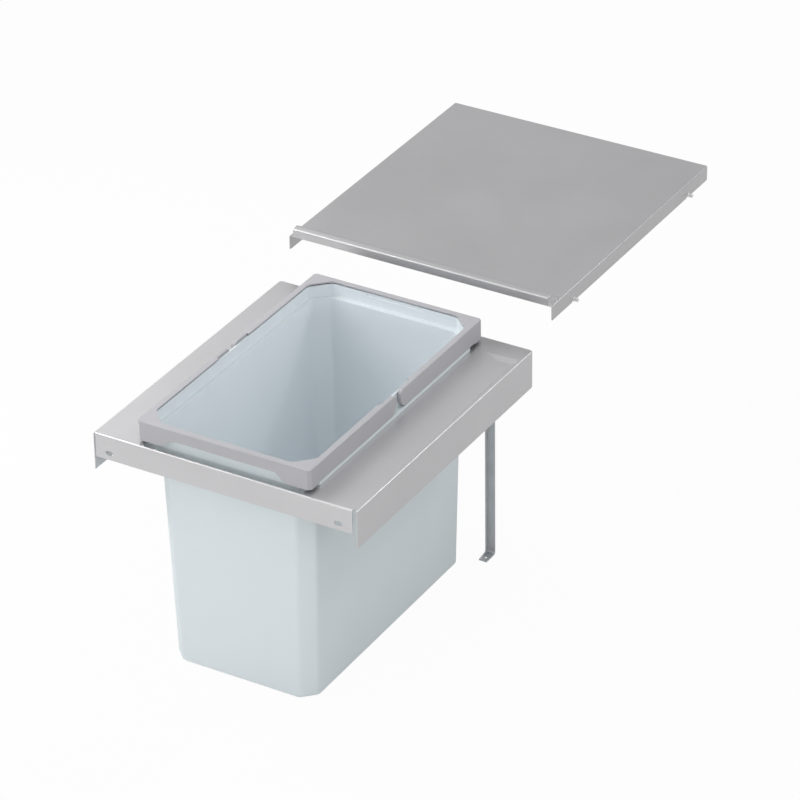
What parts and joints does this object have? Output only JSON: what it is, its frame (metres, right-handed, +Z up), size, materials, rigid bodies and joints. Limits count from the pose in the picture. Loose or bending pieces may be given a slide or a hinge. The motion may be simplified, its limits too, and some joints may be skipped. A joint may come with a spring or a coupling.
{
  "type": "built-in pull-out recycling bin",
  "caption": "Pull-out bin: folded steel frame with support struts, a lift-out plastic bucket with swing handles, and a separate steel cover plate hung on cabinet pegs.",
  "frame": {"origin": "midway between the two fixing slots, on the outer face of the frame's front flange", "axes": "+Z up, -Y to the front, where the cabinet door is, +X to the right seen from the front"},
  "size_m": [0.425, 0.9635, 0.4049],
  "materials": {
    "frame_steel": "satin silver coating",
    "cover_steel": "satin silver coating",
    "strut_steel": "zinc-plated",
    "bucket_plastic": "fine satin",
    "handle_plastic": "fine satin"
  },
  "bodies": {
    "cabinet_pegs": {"cover_peg_front_left": "strut_steel", "cover_peg_front_right": "strut_steel", "cover_peg_rear_left": "strut_steel", "cover_peg_rear_right": "strut_steel"},
    "cover": {"cover_plate": "cover_steel"},
    "frame": {"pullout_frame": "frame_steel", "strut_left": "strut_steel", "strut_right": "strut_steel", "strut_rivets_left": "strut_steel", "strut_rivets_right": "strut_steel"},
    "bucket": {"bucket": "bucket_plastic"},
    "front_handle": {"front_handle": "handle_plastic"},
    "rear_handle": {"rear_handle": "handle_plastic"}
  },
  "joints": [
    {"name": "pull_out", "type": "slide", "parent": "cabinet_pegs", "child": "frame", "axis": [0, -1, 0], "range_m": [-0.5, 0]},
    {"name": "cover_lift", "type": "slide", "parent": "cabinet_pegs", "child": "cover", "axis": [0, 0, 1], "range_m": [0, 0.05]},
    {"name": "bucket_lift", "type": "slide", "parent": "frame", "child": "bucket", "axis": [0, 0, 1], "range_m": [0, 0.37]},
    {"name": "front_handle_swing", "type": "hinge", "parent": "bucket", "child": "front_handle", "pos_m": [-0.0027, 0.21005, 0.045], "axis": [-1, 0, 0], "range_deg": [0, 90]},
    {"name": "rear_handle_swing", "type": "hinge", "parent": "bucket", "child": "rear_handle", "pos_m": [-0.0027, 0.25005, 0.045], "axis": [1, 0, 0], "range_deg": [0, 90]}
  ]
}
